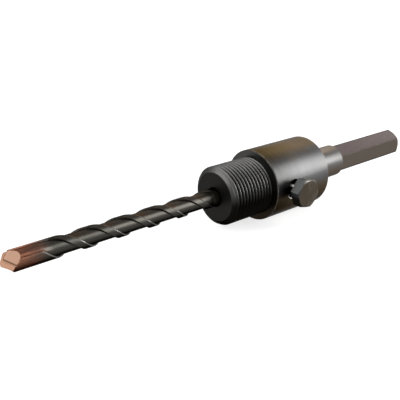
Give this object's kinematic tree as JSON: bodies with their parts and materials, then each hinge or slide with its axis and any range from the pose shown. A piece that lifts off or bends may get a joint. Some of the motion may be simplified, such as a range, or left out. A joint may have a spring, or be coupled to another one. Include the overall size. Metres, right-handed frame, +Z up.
{
  "type": "core bit adapter",
  "caption": "Core bit adapter: threaded nose holding a masonry pilot drill, stepped round body with a side clamp screw, and a hex shank.",
  "frame": {"origin": "on the spindle axis, in the shoulder face that a core bit seats on", "axes": "+X along the spindle axis from the drill's point to the hex shank, -Y towards the clamp screw's head, +Z up and square to both"},
  "size_m": [0.189, 0.0337, 0.027],
  "materials": {
    "blackened_steel": "satin",
    "drill_steel": "satin",
    "carbide": "satin",
    "screw_steel": "satin"
  },
  "bodies": {
    "adapter": {"adapter_body": "blackened_steel"},
    "drill": {"pilot_drill": "drill_steel", "carbide_tip": "carbide"},
    "screw": {"clamp_screw": "screw_steel"}
  },
  "joints": [
    {"name": "drill_pull", "type": "slide", "parent": "adapter", "child": "drill", "axis": [-1, 0, 0], "range_m": [0, 0.038]},
    {"name": "screw_out", "type": "slide", "parent": "adapter", "child": "screw", "axis": [0, -1, 0], "range_m": [0, 0.01]}
  ]
}
